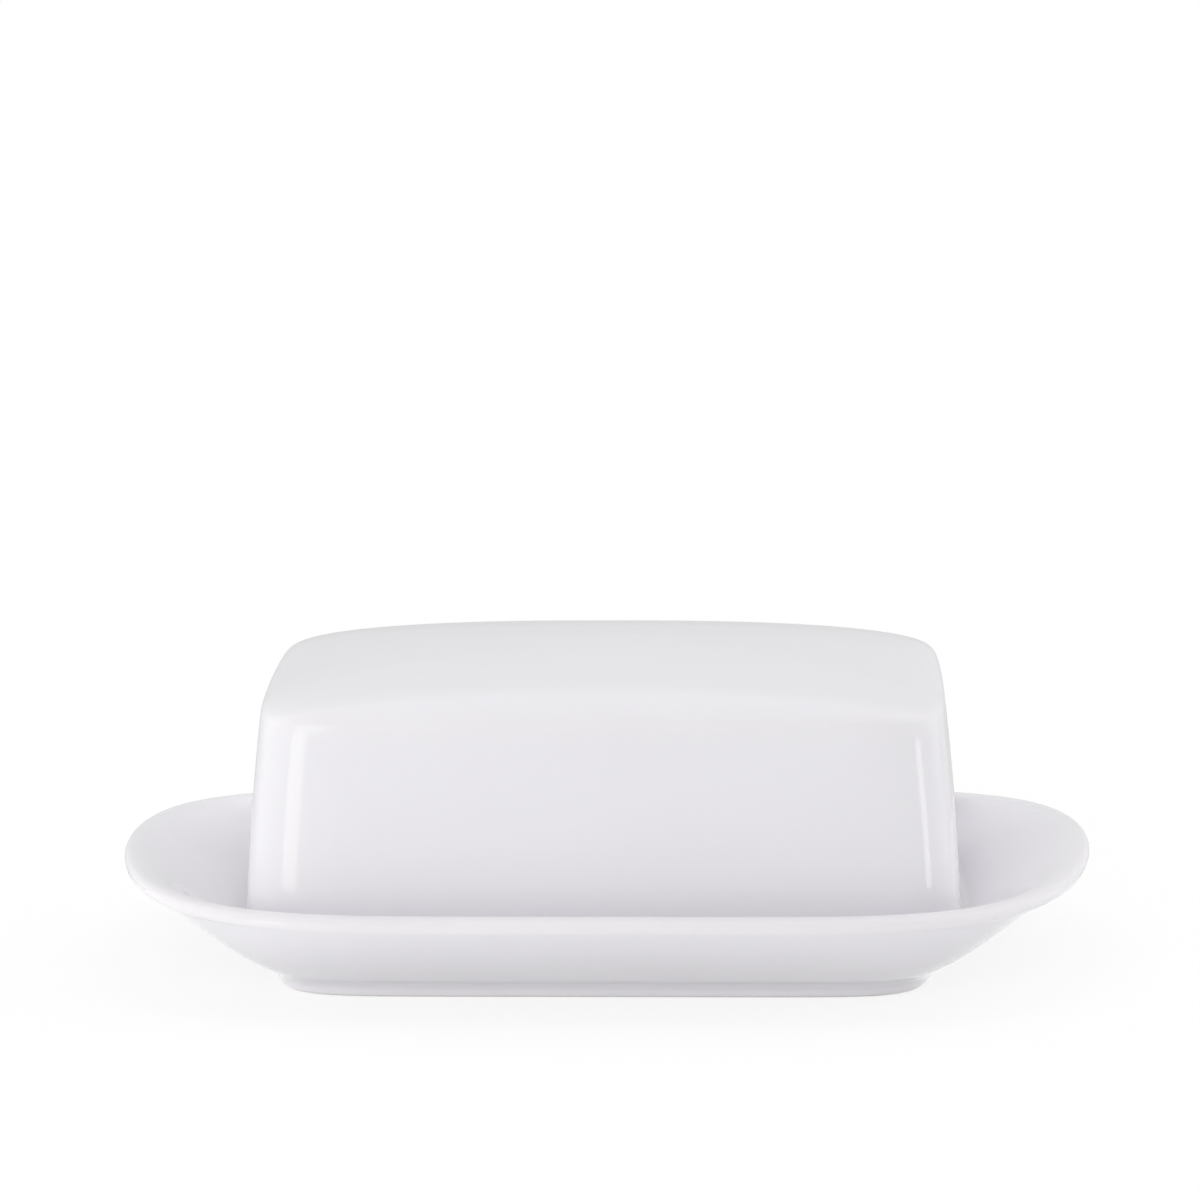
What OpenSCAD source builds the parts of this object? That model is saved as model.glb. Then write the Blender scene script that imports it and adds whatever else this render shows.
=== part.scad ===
// Covered butter dish of glazed porcelain: a long dish on a foot ring and a loose loaf-shaped cover.
// Millimetres, +Z up. The origin is the middle of the foot ring, on the plane that it stands on.
// X runs along the dish and Y across it.

/* [Cover] */
// Length of the cover at its base
cover_l = 142.4; // [110:0.2:180]
// Width of the cover at its base
cover_w = 88; // [70:0.5:120]
// Height of the cover from its base to the crest of its crown
cover_h = 53.6; // [42:0.2:80]
// Thickness of the porcelain of the cover
cover_wall = 3.4; // [2.5:0.1:5]
// Height of the arched crown above the top of the walls
crown_rise = 9.4; // [6:0.2:14]
// Roundness of the crown's edge: 2 is an ellipse, more is a sharper edge
crown_edge = 1.95; // [1.6:0.05:2.6]
// How far each side wall leans in over the whole height
side_draft = 1.4; // [0.5:0.1:4]
// How far each end wall leans in over the whole height
end_draft = 2.3; // [0.5:0.1:5]
// How far each end wall curves in as well towards the top
end_curve = 2.5; // [0:0.1:5]
// Squareness of the cover's corners seen from above
cover_corner = 10; // [5:0.5:12]
// How far the ends bow out between their corners
cover_bow = 1.3; // [0:0.1:3]
// Squareness of the crown's level lines at the crest
crest_corner = 2.1; // [2:0.1:3]
// Rounding of the edges of the cover's base
base_round = 0.9; // [0.5:0.1:1.2]

/* [Well of the dish] */
// Room all round between the base of the cover and the foot of the well's wall
cover_gap = 1; // [0.6:0.1:3]
// Thickness of the floor of the well
floor_t = 5.4; // [4:0.1:7]
// Size of the fillet between the floor and the wall of the well
floor_fillet = 0.5; // [0.2:0.1:1.5]
// Fullness of the sides of the well: 1 is a straight slope, 2 is nearly a quarter of an ellipse
well_fullness = 2.6; // [1.8:0.1:3.4]
// Squareness of the corners halfway up the wall of the well, whose foot follows the cover
well_corner = 5; // [4:0.5:9]
// How far the ends bow out halfway up the wall of the well
well_bow = 8; // [3:0.1:11]
// How far the top of the well's sides rolls outward into the lip
side_roll = 0.6; // [0.3:0.1:1]

/* [Rim of the dish] */
// Reach of the rim past the well at each end
rim_reach_l = 24.9; // [18:0.1:35]
// Reach of the rim past the well at each side
rim_reach_w = 12.8; // [9:0.1:24]
// Height of the rim at the middle of the sides
rim_h = 20; // [17:0.2:30]
// How much higher the rim stands at the ends
rim_lift = 2.5; // [0:0.1:5]
// How late the rim begins to lift along its length
rim_lift_power = 6.6; // [3:0.2:9]
// Thickness of the porcelain of the dish at its rounded lip
dish_wall = 3.2; // [2.6:0.1:4.5]
// Squareness of the corners of the rim
rim_corner = 5.6; // [3:0.1:9]
// How far the ends of the rim bow out between their corners
rim_bow = 16.4; // [5:0.2:22]

/* [Underside of the dish] */
// How steeply the underside leaves the foot: the height of its curve's handle
belly_lift = 6; // [3:0.1:8]
// How steeply the underside meets the lip: the drop of its curve's handle
lip_drop = 0.3; // [0.1:0.1:3]
// Fullness of the sides of the underside: 1 is a straight slope, 2 is nearly a quarter of an ellipse
side_fullness = 2.1; // [1.6:0.1:2.8]
// How far the sides draw in under the widest line of the lip
side_tuck = 0.22; // [0.1:0.02:0.5]
// Squareness of the corners halfway up the underside
belly_corner = 5.2; // [4:0.2:10]
// How far the ends bow out halfway up the underside
belly_bow = 0.4; // [0:0.1:6]

/* [Foot ring] */
// How far the foot stands in from the well at each end
foot_inset_l = 5.8; // [4.5:0.1:14]
// How far the foot stands in from the well at each side
foot_inset_w = 4.1; // [3.5:0.1:12]
// Height of the foot's outer wall
foot_h = 3.4; // [2:0.1:5]
// Height of the hollow underside inside the foot ring
foot_hollow = 5; // [3:0.1:7]
// Width of the foot ring
foot_ring_w = 4; // [3:0.1:7]
// How far the foot widens towards its top
foot_flare = 1.6; // [0:0.1:3]
// How late the foot widens: 1 is a straight cone, more is a hollow curve
foot_curve = 2; // [1:0.1:3]
// Rounding of the foot's edges
foot_round = 0.8; // [0.4:0.1:1.2]
// Radius of the fillet between the foot ring and the hollow underside
hollow_fillet = 1.6; // [0.5:0.1:2]
// Squareness of the corners of the foot
foot_corner = 9.5; // [4:0.1:12]
// How far the ends of the foot bow out between their corners
foot_bow = 4.4; // [0:0.1:6]

/* [Hidden] */

// Mesh steps: around a plan ring, and along each stretch of a profile
around = 80;
wall_steps = 5;
crown_steps = 10;
bowl_steps = 12;
well_steps = 13;
lip_steps = 6;
round_steps = 3;
foot_steps = 3;
// How much closer together the steps around a ring lie near the corners: 0 is evenly spread
crowding = 0.45;
// How much closer together the steps of the well's wall lie near its floor: 1 is evenly spread
well_crowding = 1.4;
// How late the top of the well's sides begins to roll outward
roll_power = 8;
// Share of a straight slope in the sides of the underside, which meets the tuck under the lip
side_slope = 0.023;
// Degrees up the crown's profile at which a small flat cap closes it
crown_stop = 86;

porcelain = [0.95, 0.95, 0.94];

floor_z = foot_hollow + floor_t;
cover_top = floor_z + cover_h;
spring_z = cover_top - crown_rise;

well_half_l = cover_l / 2 + cover_gap;
well_half_w = cover_w / 2 + cover_gap;
foot_half_l = well_half_l - foot_inset_l;
foot_half_w = well_half_w - foot_inset_w;

// The wall of the dish is its underside moved up and in, square to the bowl's usual slope
bowl_slope = 30;
wall_up = dish_wall * cos(bowl_slope);
wall_in = dish_wall * sin(bowl_slope);
lip_r = wall_up / 2;
lip_half_l = well_half_l + rim_reach_l - lip_r;
lip_half_w = well_half_w + rim_reach_w - lip_r;
lip_z = rim_h - lip_r;
// At the sides the lip's round is twice as wide as it is high, from its crest to its widest line
side_half_w = lip_half_w + lip_r;
crest_half_w = lip_half_w - lip_r;
tucked_half_w = side_half_w - side_tuck;

// Outline of the top of the foot, where the underside of the bowl begins
foot_top_l = foot_half_l + foot_flare;
foot_top_w = foot_half_w + foot_flare;
// Share of the underside, from foot to lip, that lies inward of the well's wall
well_start = (well_half_l + wall_in - foot_top_l) / (lip_half_l - foot_top_l);

// Direction of step k of a ring, with the steps closer together near the corners
function turn(k) =
    let (
        quarter = around / 4,
        v = 2 * (k % quarter) / quarter - 1
    )
    90 * floor(k / quarter) + 45 * (1 + v * (1 - crowding + crowding * v * v));

// Point of a plan ring in direction t: a superellipse whose ends bow out between their corners
function plan_point(t, half_l, half_w, corner, bow) =
    let (
        r = pow(pow(abs(cos(t)), corner) + pow(abs(sin(t)), corner), -1 / corner),
        across = r * sin(t)
    )
    [(half_l - bow * across * across) * r * cos(t), half_w * across];

// A ring is [half length, half width, corner squareness, bow, height, share of the rim's lift]
function ring_points(ring) = [
    for (k = [0 : around - 1])
        let (
            p = plan_point(turn(k), ring[0], ring[1], ring[2], ring[3]),
            lift = rim_lift * ring[5] * pow(abs(p[0]) / lip_half_l, rim_lift_power)
        )
        [p[0], p[1], ring[4] + lift]
];

function mix(a, b, share) = a + (b - a) * share;
function curve3(a, b, c, t) = mix(mix(a, b, t), mix(b, c, t), t);
function curve4(a, b, c, d, t) = mix(curve3(a, b, c, t), curve3(b, c, d, t), t);
// Rise that starts level, within a fillet of this size, and then runs on as before
function eased(rise, fillet) = sqrt(rise * rise + fillet * fillet) - fillet;
// Share that grows soon and arrives level, the sooner the fuller it is
function full(share, fullness) = 1 - pow(1 - share, fullness);

// Closed solid through a list of rings, with a flat cap on the first and on the last
module lofted(rings) {
    last = len(rings) - 1;
    points = [for (ring = rings) each ring_points(ring)];
    skin = [
        for (i = [0 : last - 1], k = [0 : around - 1])
            let (
                a = i * around + k,
                b = i * around + (k + 1) % around
            )
            each [[a, a + around, b], [b, a + around, b + around]]
    ];
    first_cap = [for (k = [0 : around - 1]) k];
    last_cap = [for (k = [around - 1 : -1 : 0]) last * around + k];
    polyhedron(points, concat([first_cap], skin, [last_cap]));
}

// Wall of the cover at height z, moved in by inset: half length and half width
function wall_share(z) = (z - floor_z) / cover_h;
function cover_half_l(z, inset) =
    cover_l / 2 - end_draft * wall_share(z) - end_curve * pow(wall_share(z), 2) - inset;
function cover_half_w(z, inset) = cover_w / 2 - side_draft * wall_share(z) - inset;

// Ring of the upright wall of the cover at height z
function wall_ring(z, inset) =
    [cover_half_l(z, inset), cover_half_w(z, inset), cover_corner, cover_bow, z, 0];

// Ring of the crown at angle t of its rounded profile, from 0 at the wall to 90 at the crest
function crown_ring(t, inset) =
    let (
        up = pow(sin(t), 2 / crown_edge),
        in = pow(cos(t), 2 / crown_edge),
        z = spring_z + (crown_rise - inset) * up,
        corner = crest_corner * pow(cover_corner / crest_corner, 1 - up)
    )
    [cover_half_l(z, inset) * in, cover_half_w(z, inset) * in, corner, cover_bow * (1 - up), z, 0];

// Rounded edge of the cover's base: depth is how far the round's middle lies inside the outer wall
function base_ring(t, depth) =
    let (z = floor_z + base_round * (1 - sin(t)))
    wall_ring(z, depth - base_round * cos(t));

module cover() {
    crown_turns = [for (i = [0 : crown_steps]) crown_stop * i / crown_steps];
    wall_heights = [
        for (i = [1 : wall_steps]) mix(floor_z + base_round, spring_z, i / (wall_steps + 1))
    ];
    inside = concat(
        [for (i = [crown_steps : -1 : 0]) crown_ring(crown_turns[i], cover_wall)],
        [for (i = [wall_steps - 1 : -1 : 0]) wall_ring(wall_heights[i], cover_wall)]
    );
    base = concat(
        [for (i = [0 : round_steps]) base_ring(180 - 90 * i / round_steps, cover_wall - base_round)],
        [for (i = [0 : round_steps]) base_ring(90 - 90 * i / round_steps, base_round)]
    );
    outside = concat(
        [for (z = wall_heights) wall_ring(z, 0)],
        [for (t = crown_turns) crown_ring(t, 0)]
    );
    color(porcelain) lofted(concat(inside, base, outside));
}

// Ring of the foot: out is measured from the foot's outer edge at its base
function foot_ring(out, z) =
    [foot_half_l + out, foot_half_w + out, foot_corner, foot_bow, z, 0];

// Height of the underside at share u of the way from the top of the foot to the lip
function under_z(u) =
    curve4(foot_h, foot_h + belly_lift, rim_h - wall_up - lip_drop, rim_h - wall_up, u);

// Ring of the underside at share u of that way
function belly_ring(u) = [
    mix(foot_top_l, lip_half_l, u),
    mix(foot_top_w, tucked_half_w, mix(full(u, side_fullness), u, side_slope)),
    curve3(foot_corner, belly_corner, rim_corner, u),
    curve3(foot_bow, belly_bow, rim_bow, u),
    under_z(u),
    pow((under_z(u) - foot_h) / (under_z(1) - foot_h), 2)
];

// Ring of the wall of the well at share v of the way from its floor to the lip: it follows the underside
function well_ring(v) =
    let (
        under = under_z(mix(well_start, 1, v)),
        depth = rim_h - floor_z,
        rise = depth * (under - under_z(well_start)) / (under_z(1) - under_z(well_start)),
        up = eased(rise, floor_fillet) / eased(depth, floor_fillet)
    )
    [
        mix(well_half_l, lip_half_l - wall_in, v),
        mix(well_half_w, crest_half_w - side_roll, full(v, well_fullness)) + side_roll * pow(v, roll_power),
        curve3(cover_corner, well_corner, rim_corner, v),
        curve3(cover_bow, well_bow, rim_bow, v),
        floor_z + depth * up,
        up
    ];

// Half width of the lip at its sides at angle t
function lip_side_w(t) =
    t > 0 ? mix(crest_half_w, side_half_w, cos(t)) : side_half_w - side_tuck * pow(sin(t), 2);

// Ring of the rounded lip at angle t, from -90 below to 90 on top: half a circle at the ends
function lip_ring(t) = [
    lip_half_l + lip_r * cos(t),
    lip_side_w(t),
    rim_corner,
    rim_bow,
    lip_z + lip_r * sin(t),
    1
];

module dish() {
    foot_inside = [
        for (i = [0 : round_steps]) let (t = 90 - 90 * i / round_steps)
            foot_ring(
                -foot_ring_w - hollow_fillet * (1 - cos(t)),
                foot_hollow - hollow_fillet * (1 - sin(t))
            ),
        for (i = [0 : round_steps]) let (t = 180 + 90 * i / round_steps)
            foot_ring(foot_round * (1 + cos(t)) - foot_ring_w, foot_round * (1 + sin(t)))
    ];
    foot_outside = [
        for (i = [0 : round_steps]) let (t = 270 + 90 * i / round_steps)
            foot_ring(foot_round * (cos(t) - 1), foot_round * (1 + sin(t))),
        for (i = [1 : foot_steps - 1]) let (share = i / foot_steps)
            foot_ring(foot_flare * pow(share, foot_curve), mix(foot_round, foot_h, share))
    ];
    underside = [for (i = [0 : bowl_steps - 1]) belly_ring(i / bowl_steps)];
    lip = [for (i = [0 : lip_steps]) lip_ring(-90 + 180 * i / lip_steps)];
    well = [for (i = [well_steps : -1 : 0]) well_ring(pow(i / well_steps, well_crowding))];
    color(porcelain) lofted(concat(foot_inside, foot_outside, underside, lip, well));
}

dish();
cover();
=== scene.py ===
"""Covered butter dish in white glazed porcelain: a long dish on a foot ring and a loose loaf-shaped cover."""
from math import cos, radians, sin

import bpy
import numpy as np
from mathutils import Matrix, Vector


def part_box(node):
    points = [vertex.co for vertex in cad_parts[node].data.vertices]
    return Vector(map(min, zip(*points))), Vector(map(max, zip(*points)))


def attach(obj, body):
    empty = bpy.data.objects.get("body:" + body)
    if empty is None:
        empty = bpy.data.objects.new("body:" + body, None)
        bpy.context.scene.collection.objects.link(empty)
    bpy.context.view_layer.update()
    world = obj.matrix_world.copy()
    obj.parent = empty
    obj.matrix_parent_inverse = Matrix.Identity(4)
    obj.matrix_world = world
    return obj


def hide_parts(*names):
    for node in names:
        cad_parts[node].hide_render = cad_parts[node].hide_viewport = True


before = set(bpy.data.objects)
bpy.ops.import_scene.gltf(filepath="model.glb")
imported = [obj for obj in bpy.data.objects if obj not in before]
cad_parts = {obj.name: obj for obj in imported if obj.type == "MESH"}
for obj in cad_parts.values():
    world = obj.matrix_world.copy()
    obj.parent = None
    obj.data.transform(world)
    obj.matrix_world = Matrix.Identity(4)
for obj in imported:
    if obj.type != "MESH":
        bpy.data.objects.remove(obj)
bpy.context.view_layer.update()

# --- Camera -----------------------------------------------------------------------------------------
# A long lens about a metre away looks a little down on the long front of the dish. The image points
# are read off the photograph's 1200 by 1200 frame, and they settle the camera's turn, rise and aim.
image_side = 1200
edges = {"left": 124.2, "right": 1088.6, "top": 619.4, "bottom": 997.7}
features = {
    "rim_tip_left": (124.2, 858.0),
    "rim_tip_right": (1088.6, 850.0),
    "rim_back_left": (180.0, 807.3),
    "rim_back_right": (1050.0, 804.7),
    "rim_front_middle": (600.0, 916.3),
    "foot_left": (287.8, 984.0),
    "foot_right": (924.5, 984.0),
    "cover_left": (254.9, 756.0),
    "cover_right": (949.7, 748.0),
    "crown_left": (281.0, 654.0),
    "crown_right": (935.8, 652.0),
    "crest": (570.0, 619.4),
}

camera_turn = radians(-1.908)
camera_rise = radians(11.03)
camera_roll = radians(-0.373)
camera_aim = Vector((-0.0011, 0.0, 0.0713))
camera_distance = 1.0954
camera_lens = 164.1
camera_sensor = 36.0
camera_reach = 50.0

ahead = Vector((
    sin(camera_turn) * cos(camera_rise),
    cos(camera_turn) * cos(camera_rise),
    -sin(camera_rise),
))
camera_data = bpy.data.cameras.new("camera")
camera_data.lens = camera_lens
camera_data.sensor_width = camera_sensor
camera_data.sensor_fit = "AUTO"
camera_data.clip_end = camera_reach
camera = bpy.data.objects.new("camera", camera_data)
camera.matrix_world = (
    Matrix.Translation(camera_aim - camera_distance * ahead)
    @ ahead.to_track_quat("-Z", "Y").to_matrix().to_4x4()
    @ Matrix.Rotation(camera_roll, 4, "Z")
)
bpy.context.scene.collection.objects.link(camera)
bpy.context.scene.camera = camera


def in_picture(spots):
    """Picture x and y of spots, a row each: they are taken into the camera's axes and divided by depth."""
    to_camera = np.array(camera.matrix_world.inverted())
    seen = spots @ to_camera[:3, :3].T + to_camera[:3, 3]
    focal = image_side * camera_lens / camera_sensor
    x = image_side / 2 - focal * seen[:, 0] / seen[:, 2]
    y = image_side / 2 + focal * seen[:, 1] / seen[:, 2]
    return x, y


# --- Dish -------------------------------------------------------------------------------------------
# A long dish pressed in porcelain, glazed all over but for the ring that it stands on in the kiln.
# It has a flat well for the cover, a bowed rim that lifts towards its ends, and a foot set in below.
cover_half_l = 0.0712
cover_half_w = 0.044
cover_corner = 10.0
cover_bow = 0.0013
cover_gap = 0.001

floor_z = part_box("cover")[0].z
floor_fillet = 0.0005
well_half_l = cover_half_l + cover_gap
well_half_w = cover_half_w + cover_gap
well_fullness = 2.6
well_corner = 5.0
well_bow = 0.008
side_roll = 0.0006
roll_power = 8

dish_wall = 0.0032
rim_reach_l = 0.0249
rim_reach_w = 0.0128
bowl_slope = radians(30)
wall_up = dish_wall * cos(bowl_slope)
wall_in = dish_wall * sin(bowl_slope)
lip_r = wall_up / 2
lip_half_l = well_half_l + rim_reach_l - lip_r
lip_half_w = well_half_w + rim_reach_w - lip_r
side_half_w = lip_half_w + lip_r
crest_half_w = lip_half_w - lip_r
side_tuck = 0.00022
side_slope = 0.023
rim_h = 0.020
rim_lift = 0.0025
rim_lift_power = 6.6
rim_corner = 5.6
rim_bow = 0.0164

foot_inset_l = 0.0058
foot_inset_w = 0.0041
foot_half_l = well_half_l - foot_inset_l
foot_half_w = well_half_w - foot_inset_w
foot_h = 0.0034
foot_hollow = 0.005
foot_ring_w = 0.004
foot_flare = 0.0016
foot_curve = 2.0
foot_round = 0.0008
hollow_fillet = 0.0016
foot_corner = 9.5
foot_bow = 0.0044
foot_top_l = foot_half_l + foot_flare
foot_top_w = foot_half_w + foot_flare

belly_lift = 0.006
lip_drop = 0.0003
side_fullness = 2.1
belly_corner = 5.2
belly_bow = 0.0004
# Share of the way from foot to lip at which the underside passes below the foot of the well's wall
well_start = (well_half_l + wall_in - foot_top_l) / (lip_half_l - foot_top_l)

bare_h = 0.0003
glaze_round = 0.0004
glaze_pool = 0.0015
glaze_step = glaze_round / 8
least_run = 1e-8
ring_spacing = 0.0024
ring_turn = radians(6)
around = 480
crowding = 0.45
dish_rows = 176
profile_steps = 120
lip_steps = 60
round_steps = 16


def mix(a, b, share):
    """Value at this share of the way from a to b."""
    return a + (b - a) * share


def curve3(a, b, c, t):
    """Curve from a to c that b pulls towards itself."""
    return mix(mix(a, b, t), mix(b, c, t), t)


def curve4(a, b, c, d, t):
    """Curve from a to d that leaves towards b and arrives from c."""
    return mix(curve3(a, b, c, t), curve3(b, c, d, t), t)


def eased(rise, fillet):
    """Rise that starts level, within a fillet of this size, and then runs on as before."""
    return np.sqrt(rise * rise + fillet * fillet) - fillet


def full(share, fullness):
    """Share that grows soon and arrives level, the sooner the fuller it is."""
    return 1 - (1 - share) ** fullness


def rings(half_l, half_w, corner, bow, z, lift=0.0):
    """Table of plan rings, a row each, whose columns are half length, half width, squareness of the corners,
    bow of the ends, height, and the share of the rim's lift that the ring takes."""
    return np.stack(np.broadcast_arrays(half_l, half_w, corner, bow, z, lift), axis=-1).astype(float)


def foot_rings(out, z):
    """Rings of the foot, out being measured from its outer edge at its base."""
    return rings(foot_half_l + out, foot_half_w + out, foot_corner, foot_bow, z)


def under_z(u):
    """Height of the underside at share u of the way from the top of the foot to the lip."""
    return curve4(foot_h, foot_h + belly_lift, rim_h - wall_up - lip_drop, rim_h - wall_up, u)


def underside_rings(u):
    """Rings of the underside, which grow from the foot to the lip, the sides sooner than the ends."""
    return rings(
        mix(foot_top_l, lip_half_l, u),
        mix(foot_top_w, side_half_w - side_tuck, mix(full(u, side_fullness), u, side_slope)),
        curve3(foot_corner, belly_corner, rim_corner, u),
        curve3(foot_bow, belly_bow, rim_bow, u),
        under_z(u),
        ((under_z(u) - foot_h) / (under_z(1) - foot_h)) ** 2,
    )


def well_rings(v):
    """Rings of the wall of the well: it rises as the underside does, eased out of the floor by a fillet."""
    depth = rim_h - floor_z
    start = under_z(well_start)
    rise = depth * (under_z(mix(well_start, 1, v)) - start) / (under_z(1) - start)
    up = eased(rise, floor_fillet) / eased(depth, floor_fillet)
    return rings(
        mix(well_half_l, lip_half_l - wall_in, v),
        mix(well_half_w, crest_half_w - side_roll, full(v, well_fullness)) + side_roll * v**roll_power,
        curve3(cover_corner, well_corner, rim_corner, v),
        curve3(cover_bow, well_bow, rim_bow, v),
        floor_z + depth * up,
        up,
    )


def lip_rings(t):
    """Rings of the rounded lip, from its underside at -90 degrees to its top at 90. At the ends it is half a
    circle. At the sides it is twice as wide as it is high above its middle, and draws in a little below."""
    above = mix(crest_half_w, side_half_w, np.cos(t))
    below = side_half_w - side_tuck * np.sin(t) ** 2
    return rings(
        lip_half_l + lip_r * np.cos(t),
        np.where(t > 0, above, below),
        rim_corner,
        rim_bow,
        rim_h - lip_r + lip_r * np.sin(t),
        1.0,
    )


def blurred(columns, width, reach=4):
    """Columns of numbers along a profile, each number made the mean of its neighbours, weighted by a bell
    curve of this width that is cut off at reach times its width. Past its ends a column goes on, turned
    about them."""
    side = round(reach * width / glaze_step)
    bell = np.exp(-0.5 * (np.arange(-side, side + 1) * glaze_step / width) ** 2)
    padded = np.pad(columns, ((side, side), (0, 0)), mode="reflect", reflect_type="odd")
    return np.stack([np.convolve(c, bell / bell.sum(), mode="valid") for c in padded.T], axis=-1)


def glazed(stretches, rows, corner_round=glaze_round):
    """Joins stretches of rings and rounds every edge as a coat of glaze does: each number is blurred along
    the profile, and the squareness of the corners once more, by corner_round. Of these it keeps rows rings,
    which lie closer together where the profile turns. With them comes the depth of glaze, 0 on edges and 1
    in hollows: half, less the turn of the profile, in radians, over glaze_pool."""
    table = np.concatenate(stretches)
    run = np.hypot(np.diff(table[:, 0]), np.diff(table[:, 4]))
    table = table[np.r_[True, run > least_run]]
    along = np.r_[0, np.cumsum(run[run > least_run])]
    fine = np.linspace(0, along[-1], int(along[-1] / glaze_step))
    smooth = blurred(np.stack([np.interp(fine, along, c) for c in table.T], axis=-1), glaze_round)
    smooth[:, 2:3] = blurred(smooth[:, 2:3], corner_round, reach=3)
    heading = np.unwrap(np.arctan2(np.gradient(smooth[:, 4]), np.gradient(smooth[:, 0])))
    bend = np.gradient(heading, fine)
    depth = np.clip(0.5 - glaze_pool * blurred(bend[:, None], glaze_pool), 0, 1)
    effort = np.cumsum(1 / ring_spacing + np.abs(bend) / ring_turn) * (fine[1] - fine[0])
    kept = np.interp(np.linspace(effort[0], effort[-1], rows), effort, fine)
    return np.stack([np.interp(kept, fine, c) for c in np.c_[smooth, depth].T], axis=-1)


def ring_turns():
    """Directions round a ring: in each quarter the angle follows v and its cube, v running from -1 to 1, so
    that the steps lie closer together at the corners."""
    quarter = around // 4
    step = np.arange(around)
    v = 2 * (step % quarter) / quarter - 1
    return radians(90) * (step // quarter) + radians(45) * (1 + v * (1 - crowding + crowding * v * v))


def ring_points(table):
    """Points of a table of rings, a row of points each. A ring is a superellipse whose ends bow out between
    the corners, and it lifts with a power of its distance from the middle of the dish."""
    half_l, half_w, corner, bow, z, lift = (table[:, k : k + 1] for k in range(6))
    turns = ring_turns()[None, :]
    r = (np.abs(np.cos(turns)) ** corner + np.abs(np.sin(turns)) ** corner) ** (-1 / corner)
    across = r * np.sin(turns)
    x = (half_l - bow * across**2) * r * np.cos(turns)
    y = half_w * across
    z = z + rim_lift * lift * (np.abs(x) / lip_half_l) ** rim_lift_power
    return np.stack([x, y, z], axis=-1)


def shell(name, table, bare_below):
    """Closed mesh over a table of rings whose first and last are points: faces join each ring to the next,
    and fans close the two ends. Faces below bare_below take the second material, and each point keeps its
    depth of glaze."""
    grid = ring_points(table[1:-1])
    count = len(grid)
    ends = np.array([[0, 0, table[0, 4]], [0, 0, table[-1, 4]]])
    points = np.concatenate([grid.reshape(-1, 3), ends])
    k = np.arange(around)
    after = (k + 1) % around
    rows = np.arange(count - 1)[:, None] * around
    quads = np.stack([rows + k, rows + after, rows + around + after, rows + around + k], axis=-1)
    quads = quads.reshape(-1, 4)
    first = np.stack([np.full(around, len(points) - 2), after, k], axis=-1)
    last = (count - 1) * around
    final = np.stack([np.full(around, len(points) - 1), last + k, last + after], axis=-1)
    mesh = bpy.data.meshes.new(name)
    mesh.from_pydata(points.tolist(), [], quads.tolist() + first.tolist() + final.tolist())
    middle = points[quads][:, :, 2].mean(axis=1)
    bare = np.r_[middle < bare_below, np.zeros(2 * around, bool)].astype(np.int32)
    mesh.polygons.foreach_set("material_index", bare)
    mesh.shade_smooth()
    depth = mesh.attributes.new("glaze_depth", "FLOAT", "POINT")
    depth.data.foreach_set("value", np.r_[np.repeat(table[1:-1, 6], around), table[0, 6], table[-1, 6]])
    piece = bpy.data.objects.new(name, mesh)
    bpy.context.scene.collection.objects.link(piece)
    return piece


quarter_turn = np.linspace(0, np.pi / 2, round_steps)
share = np.linspace(0, 1, profile_steps)
hollow = foot_rings(
    -foot_ring_w - hollow_fillet * (1 - np.sin(quarter_turn)),
    foot_hollow - hollow_fillet * (1 - np.cos(quarter_turn)),
)
foot_inside = foot_rings(
    foot_round * (1 - np.cos(quarter_turn)) - foot_ring_w,
    foot_round * (1 - np.sin(quarter_turn)),
)
foot_outside = foot_rings(
    foot_round * (np.sin(quarter_turn) - 1),
    foot_round * (1 - np.cos(quarter_turn)),
)
foot_side = foot_rings(foot_flare * share**foot_curve, mix(foot_round, foot_h, share))
dish_profile = glazed(
    [
        rings(0, 0, foot_corner, 0, [foot_hollow]),
        hollow,
        foot_inside,
        foot_outside,
        foot_side,
        underside_rings(share),
        lip_rings(np.linspace(-np.pi / 2, np.pi / 2, lip_steps)),
        well_rings(share[::-1]),
        rings(0, 0, cover_corner, 0, [floor_z]),
    ],
    dish_rows,
)
dish = shell("glazed_dish", dish_profile, bare_below=bare_h)


def linear(hex_colour):
    """Linear red, green, blue and an alpha of 1 from an sRGB hex colour, by the sRGB curve."""
    parts = np.array([int(hex_colour[k : k + 2], 16) for k in (1, 3, 5)]) / 255
    return (*np.where(parts > 0.04045, ((parts + 0.055) / 1.055) ** 2.4, parts / 12.92).tolist(), 1.0)


def add_node(tree, kind, inputs=(), **settings):
    """Adds a node of this kind with its settings; each input is a plain value or the socket that feeds it."""
    node = tree.nodes.new(kind)
    for name, value in settings.items():
        setattr(node, name, value)
    for name, value in dict(inputs).items():
        if isinstance(value, bpy.types.NodeSocket):
            tree.links.new(value, node.inputs[name])
        else:
            node.inputs[name].default_value = value
    return node


def new_material(name):
    """Empty material and its node tree."""
    material = bpy.data.materials.new(name)
    material.use_nodes = True
    material.node_tree.nodes.clear()
    return material, material.node_tree


# Glazed porcelain: hard white clay under a clear glass coat, dipped and then fired. The coat gives sharp,
# colourless reflections, a little wavy over centimetres with a fine peel on top. It lies thinner and whiter
# over edges, deeper and cooler in hollows, and holds a few faint specks from the kiln.
glaze_thin = "#F0EEF1"
glaze_deep = "#EAE9EE"
glaze_cloud = "#EBE9ED"
glaze_speck = "#CFC8BE"
glaze_ior = 1.5
glaze_roughness = (0.07, 0.11)
wave_size = 0.022
wave_height = 0.00003
peel_size = 0.0022
peel_height = 0.000003
peel_range = (0.3, 0.7)
cloud_size = 0.035
cloud_range = (0.35, 0.75)
cloud_share = 0.6
speck_spacing = 0.011
speck_size = 0.00022
speck_share = 0.18

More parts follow.
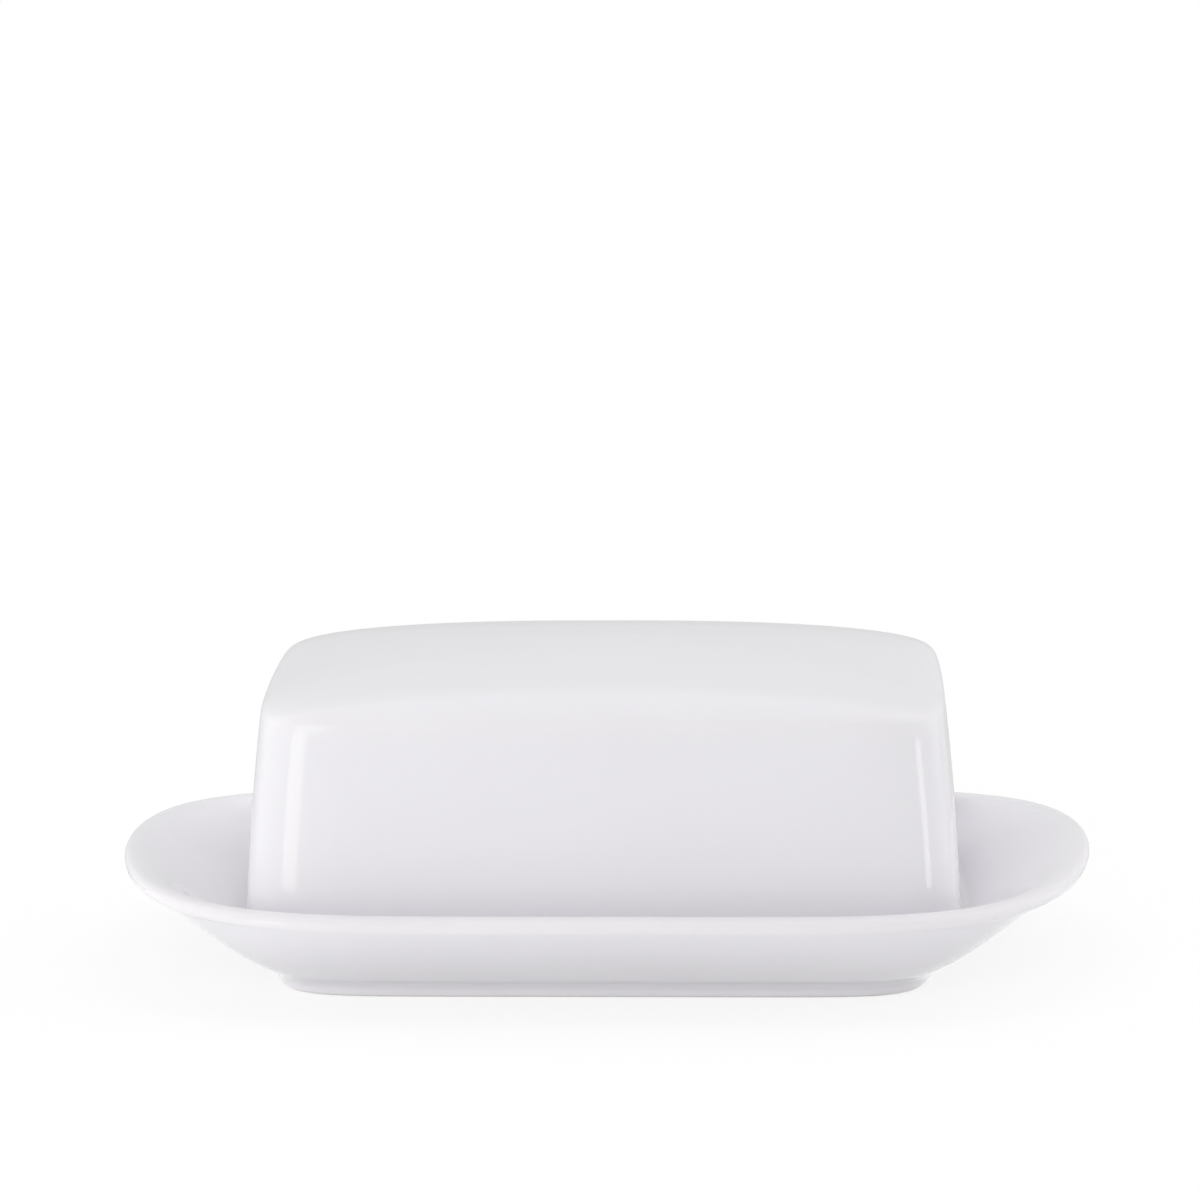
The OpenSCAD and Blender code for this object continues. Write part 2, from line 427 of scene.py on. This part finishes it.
glaze, tree = new_material("glazed_porcelain")
spot = add_node(tree, "ShaderNodeTexCoord").outputs["Object"]
depth = add_node(tree, "ShaderNodeAttribute", attribute_name="glaze_depth").outputs["Fac"]
cloud = add_node(tree, "ShaderNodeTexNoise", {"Vector": spot, "Scale": 1 / cloud_size, "Detail": 3.0})
wave = add_node(tree, "ShaderNodeTexNoise", {"Vector": spot, "Scale": 1 / wave_size, "Detail": 1.0})
peel = add_node(tree, "ShaderNodeTexNoise", {"Vector": spot, "Scale": 1 / peel_size, "Detail": 2.0})
cells = add_node(tree, "ShaderNodeTexVoronoi", {"Vector": spot, "Scale": 1 / speck_spacing})
body = add_node(
    tree, "ShaderNodeMix", {0: depth, 6: linear(glaze_thin), 7: linear(glaze_deep)}, data_type="RGBA"
)
patchy = add_node(
    tree,
    "ShaderNodeMapRange",
    {
        "Value": cloud.outputs["Fac"],
        "From Min": cloud_range[0],
        "From Max": cloud_range[1],
        "To Max": cloud_share,
    },
)
clouded = add_node(
    tree,
    "ShaderNodeMix",
    {0: patchy.outputs["Result"], 6: body.outputs[2], 7: linear(glaze_cloud)},
    data_type="RGBA",
)
speck = add_node(
    tree,
    "ShaderNodeMapRange",
    {
        "Value": cells.outputs["Distance"],
        "From Min": speck_size / speck_spacing,
        "From Max": 2 * speck_size / speck_spacing,
        "To Min": speck_share,
        "To Max": 0.0,
    },
)
specked = add_node(
    tree,
    "ShaderNodeMix",
    {0: speck.outputs["Result"], 6: clouded.outputs[2], 7: linear(glaze_speck)},
    data_type="RGBA",
)
gloss = add_node(
    tree,
    "ShaderNodeMapRange",
    {
        "Value": peel.outputs["Fac"],
        "From Min": peel_range[0],
        "From Max": peel_range[1],
        "To Min": glaze_roughness[0],
        "To Max": glaze_roughness[1],
    },
)
waves = add_node(tree, "ShaderNodeBump", {"Distance": wave_height, "Height": wave.outputs["Fac"]})
skin = add_node(
    tree,
    "ShaderNodeBump",
    {"Distance": peel_height, "Height": peel.outputs["Fac"], "Normal": waves.outputs["Normal"]},
)
coat = add_node(
    tree,
    "ShaderNodeBsdfPrincipled",
    {
        "Base Color": specked.outputs[2],
        "Roughness": gloss.outputs["Result"],
        "IOR": glaze_ior,
        "Normal": skin.outputs["Normal"],
    },
)
add_node(tree, "ShaderNodeOutputMaterial", {"Surface": coat.outputs["BSDF"]})

# Bare porcelain: where the piece stands in the kiln the glaze is wiped off, and the fired clay shows matt,
# warmer than the glaze, with a fine sandy grain.
bare_pale = "#E9E5DD"
bare_dark = "#D8D2C6"
bare_roughness = 0.75
grain_size = 0.0006
grain_height = 0.00003

bare, tree = new_material("bare_porcelain")
spot = add_node(tree, "ShaderNodeTexCoord").outputs["Object"]
grain = add_node(tree, "ShaderNodeTexNoise", {"Vector": spot, "Scale": 1 / grain_size, "Detail": 4.0})
clay = add_node(
    tree,
    "ShaderNodeMix",
    {0: grain.outputs["Fac"], 6: linear(bare_pale), 7: linear(bare_dark)},
    data_type="RGBA",
)
sandy = add_node(tree, "ShaderNodeBump", {"Distance": grain_height, "Height": grain.outputs["Fac"]})
matt = add_node(
    tree,
    "ShaderNodeBsdfPrincipled",
    {"Base Color": clay.outputs[2], "Roughness": bare_roughness, "Normal": sandy.outputs["Normal"]},
)
add_node(tree, "ShaderNodeOutputMaterial", {"Surface": matt.outputs["BSDF"]})

dish.data.materials.append(glaze)
dish.data.materials.append(bare)
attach(dish, "dish")
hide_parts("dish")

# --- Cover ------------------------------------------------------------------------------------------
# A loose cover pressed in the same porcelain: four upright walls that lean in a little and a crown that
# rounds into them. It stands in the well of the dish on its own edge, which is wiped clean of glaze.
cover_top = 0.064
crown_rise = 0.0094
crown_edge = 1.95
crest_corner = 2.1
side_draft = 0.0014
end_draft = 0.0023
end_curve = 0.0025
cover_wall = 0.0034
base_round = 0.0009
eaves_round = 0.0016
cover_rows = 150
crown_steps = 160
wall_steps = 60


def wall_rings(z, inset):
    """Rings of the upright wall of the cover, moved in by inset: it leans in with height, the ends more."""
    up = (z - floor_z) / (cover_top - floor_z)
    half_l = cover_half_l - end_draft * up - end_curve * up**2 - inset
    half_w = cover_half_w - side_draft * up - inset
    return rings(half_l, half_w, cover_corner, cover_bow, z)


def crown_rings(t, inset):
    """Rings of the crown at angle t of its rounded profile, from the wall at 0 to the crest at 90 degrees."""
    up = np.sin(t) ** (2 / crown_edge)
    inward = np.cos(t) ** (2 / crown_edge)
    z = cover_top - crown_rise + (crown_rise - inset) * up
    wall = wall_rings(z, inset)
    corner = crest_corner * (cover_corner / crest_corner) ** (1 - up)
    return rings(wall[:, 0] * inward, wall[:, 1] * inward, corner, cover_bow * (1 - up), z)


crown_turn = np.linspace(0, np.pi / 2, crown_steps)
wall_z = np.linspace(floor_z + base_round, cover_top - crown_rise, wall_steps)
inner_round = wall_rings(
    floor_z + base_round * (1 - np.sin(quarter_turn)),
    cover_wall - base_round * (1 - np.cos(quarter_turn)),
)
outer_round = wall_rings(
    floor_z + base_round * (1 - np.cos(quarter_turn)),
    base_round * (1 - np.sin(quarter_turn)),
)
cover_profile = glazed(
    [
        crown_rings(crown_turn, cover_wall)[::-1],
        wall_rings(wall_z, cover_wall)[::-1],
        inner_round,
        outer_round,
        wall_rings(wall_z, 0.0),
        crown_rings(crown_turn, 0.0),
    ],
    cover_rows,
    eaves_round,
)
cover = shell("glazed_cover", cover_profile, bare_below=floor_z + bare_h)

cover.data.materials.append(glaze)
cover.data.materials.append(bare)
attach(cover, "cover")
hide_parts("cover")

# --- Floor ------------------------------------------------------------------------------------------
# A wide white table top, just under the foot. The camera sees it as white with the soft shadow of the dish,
# and what it throws back up at the porcelain is the light of pale paper. Reflections see past it to the room.
table_half = 5.0
table_z = -0.0001
table_paper = "#F2F2F2"
shadow_share = 0.2
shadow_fade = (0.16, 0.5)

floor_mesh = bpy.data.meshes.new("floor")
floor_mesh.from_pydata(
    [(x * table_half, y * table_half, table_z) for x, y in ((-1, -1), (1, -1), (1, 1), (-1, 1))],
    [],
    [(0, 1, 2, 3)],
)
floor = bpy.data.objects.new("floor", floor_mesh)
bpy.context.scene.collection.objects.link(floor)
floor.visible_glossy = False

table, tree = new_material("white_table")
seen = add_node(tree, "ShaderNodeLightPath").outputs["Is Camera Ray"]
spot = add_node(tree, "ShaderNodeTexCoord").outputs["Object"]
away = add_node(tree, "ShaderNodeVectorMath", {0: spot}, operation="LENGTH")
near = add_node(
    tree,
    "ShaderNodeMapRange",
    {
        "Value": away.outputs["Value"],
        "From Min": shadow_fade[0],
        "From Max": shadow_fade[1],
        "To Min": shadow_share,
        "To Max": 0.0,
    },
    interpolation_type="SMOOTHSTEP",
)
white = add_node(tree, "ShaderNodeEmission", {"Strength": 1.0})
shaded = add_node(tree, "ShaderNodeBsdfDiffuse", {"Color": (1.0, 1.0, 1.0, 1.0)})
paper = add_node(tree, "ShaderNodeBsdfDiffuse", {"Color": linear(table_paper)})
pictured = add_node(
    tree, "ShaderNodeMixShader", {0: near.outputs["Result"], 1: white.outputs[0], 2: shaded.outputs[0]}
)
either = add_node(tree, "ShaderNodeMixShader", {0: seen, 1: paper.outputs[0], 2: pictured.outputs[0]})
add_node(tree, "ShaderNodeOutputMaterial", {"Surface": either.outputs[0]})
floor_mesh.materials.append(table)

# --- Light ------------------------------------------------------------------------------------------
# Softboxes all round, at a plain level of light. The glaze mirrors only the two low strips and the box at the
# left front; the others light it unseen, so that the crown doesn't burn out against the white room. A grey
# card behind the dish, which only reflections see, keeps the crown darker than the room.
light_aim = Vector((0.0, 0.0, 0.035))
warm_white = "#FFFCE0"


def softbox(name, turn, rise, distance, width, height, strength, mirrored=False, paint="#FFFFFF"):
    """Area light at this turn from the camera's side (right is positive) and rise above the table, aimed at
    the middle of the cover. A strength of 1 is seen as white: power is pi times area times strength. The
    glaze mirrors it only where mirrored is set."""
    outward = Vector((sin(turn) * cos(rise), -cos(turn) * cos(rise), sin(rise)))
    data = bpy.data.lights.new(name, "AREA")
    data.shape = "RECTANGLE"
    data.size = width
    data.size_y = height
    data.energy = float(np.pi) * width * height * strength
    data.color = linear(paint)[:3]
    lamp = bpy.data.objects.new(name, data)
    lamp.matrix_world = (
        Matrix.Translation(light_aim + distance * outward)
        @ outward.to_track_quat("Z", "Y").to_matrix().to_4x4()
    )
    lamp.visible_glossy = mirrored
    bpy.context.scene.collection.objects.link(lamp)


softbox("left_window", radians(-58), radians(9), 0.65, 0.42, 0.26, 2.4)
softbox("left_front_box", radians(-30), radians(9), 1.0, 0.42, 0.3, 1.4, mirrored=True)
softbox("front_box", radians(-12), radians(27), 0.85, 0.62, 0.3, 2.12)
softbox("left_strip", radians(-36), radians(-6), 0.8, 0.2, 0.2, 2.0, mirrored=True, paint=warm_white)
softbox("right_strip", radians(54), radians(-6), 0.9, 0.16, 0.2, 2.6, mirrored=True)
softbox("right_low_box", radians(73), radians(-3), 0.9, 0.42, 0.3, 1.1)
softbox("right_window", radians(95), radians(12), 1.0, 0.7, 0.45, 2.25)
softbox("right_high_box", radians(90), radians(40), 1.1, 0.9, 0.5, 0.5)
softbox("right_rear_box", radians(138), radians(14), 1.0, 0.6, 0.45, 1.6)
softbox("left_rear_box", radians(-118), radians(14), 1.0, 0.9, 0.45, 1.3)
softbox("overhead_box", radians(180), radians(71), 1.1, 1.6, 0.9, 1.28)

card_half_w = 1.5
card_low = -0.3
card_top = 1.05
card_far = 0.95
card_strength = 0.65
card_mesh = bpy.data.meshes.new("grey_card")
card_mesh.from_pydata(
    [
        (-card_half_w, card_far, card_low),
        (card_half_w, card_far, card_low),
        (card_half_w, card_far, card_top),
        (-card_half_w, card_far, card_top),
    ],
    [],
    [(0, 1, 2, 3)],
)
card = bpy.data.objects.new("grey_card", card_mesh)
bpy.context.scene.collection.objects.link(card)
card.visible_camera = False
card.visible_diffuse = False
card.visible_shadow = False
card_paper, tree = new_material("grey_card")
card_glow = add_node(tree, "ShaderNodeEmission", {"Strength": card_strength})
add_node(tree, "ShaderNodeOutputMaterial", {"Surface": card_glow.outputs[0]})
card_paper.cycles.emission_sampling = "NONE"
card_mesh.materials.append(card_paper)

room_fill = 0.42
room = bpy.data.worlds.new("white_room")
room.use_nodes = True
tree = room.node_tree
tree.nodes.clear()
path = add_node(tree, "ShaderNodeLightPath")
direct = add_node(
    tree,
    "ShaderNodeMath",
    {0: path.outputs["Is Camera Ray"], 1: path.outputs["Is Glossy Ray"]},
    operation="MAXIMUM",
)
through = add_node(
    tree,
    "ShaderNodeMath",
    {0: direct.outputs[0], 1: path.outputs["Is Transmission Ray"]},
    operation="MAXIMUM",
)
level = add_node(
    tree, "ShaderNodeMapRange", {"Value": through.outputs[0], "To Min": room_fill, "To Max": 1.0}
)
glow = add_node(
    tree, "ShaderNodeBackground", {"Color": (1.0, 1.0, 1.0, 1.0), "Strength": level.outputs["Result"]}
)
add_node(tree, "ShaderNodeOutputWorld", {"Surface": glow.outputs[0]})
bpy.context.scene.world = room
bpy.context.scene.view_settings.view_transform = "Standard"


def places(piece):
    """Every vertex of a finished piece, a row each."""
    found = np.empty(3 * len(piece.data.vertices))
    piece.data.vertices.foreach_get("co", found)
    return found.reshape(-1, 3)


def outline_at(piece, side, point, only=None):
    """Where the piece reaches furthest to one side of the picture, in the row or column through this point:
    every edge of its mesh that crosses that line is cut there, and the furthest cut counts."""
    spots = places(piece)
    ends = np.empty(2 * len(piece.data.edges), int)
    piece.data.edges.foreach_get("vertices", ends)
    a, b = ends.reshape(-1, 2).T
    if only is not None:
        kept = only(spots[a]) & only(spots[b])
        a, b = a[kept], b[kept]
    x, y = in_picture(spots)
    in_row = side in ("left", "right")
    across, along, line = (y, x, point[1]) if in_row else (x, y, point[0])
    cut = (across[a] - line) * (across[b] - line) < 0
    a, b = a[cut], b[cut]
    met = along[a] + (along[b] - along[a]) * (line - across[a]) / (across[b] - across[a])
    reach = met.min() if side in ("left", "top") else met.max()
    return (reach, line) if in_row else (line, reach)


def furthest(spots, side):
    """The spot that shows furthest to one side of the picture."""
    x, y = in_picture(spots)
    k = {"left": x.argmin(), "right": x.argmax(), "top": y.argmin(), "bottom": y.argmax()}[side]
    return x[k], y[k]


def before_well(spots):
    """Which spots lie nearer to the front than the well."""
    return spots[:, 1] < -well_half_w


dish_places = places(dish)
cover_places = places(cover)
shown = {
    "rim_tip_left": furthest(dish_places, "left"),
    "rim_tip_right": furthest(dish_places, "right"),
    "rim_back_left": outline_at(dish, "top", features["rim_back_left"]),
    "rim_back_right": outline_at(dish, "top", features["rim_back_right"]),
    "rim_front_middle": outline_at(dish, "top", features["rim_front_middle"], before_well),
    "foot_left": outline_at(dish, "left", features["foot_left"]),
    "foot_right": outline_at(dish, "right", features["foot_right"]),
    "cover_left": outline_at(cover, "left", features["cover_left"]),
    "cover_right": outline_at(cover, "right", features["cover_right"]),
    "crown_left": outline_at(cover, "left", features["crown_left"]),
    "crown_right": outline_at(cover, "right", features["crown_right"]),
    "crest": outline_at(cover, "top", features["crest"]),
}
off = {name: [float(shown[name][k] - features[name][k]) for k in (0, 1)] for name in features}
everything = np.concatenate([dish_places, cover_places])
for side, edge in edges.items():
    off[side] = float(furthest(everything, side)[0 if side in ("left", "right") else 1] - edge)
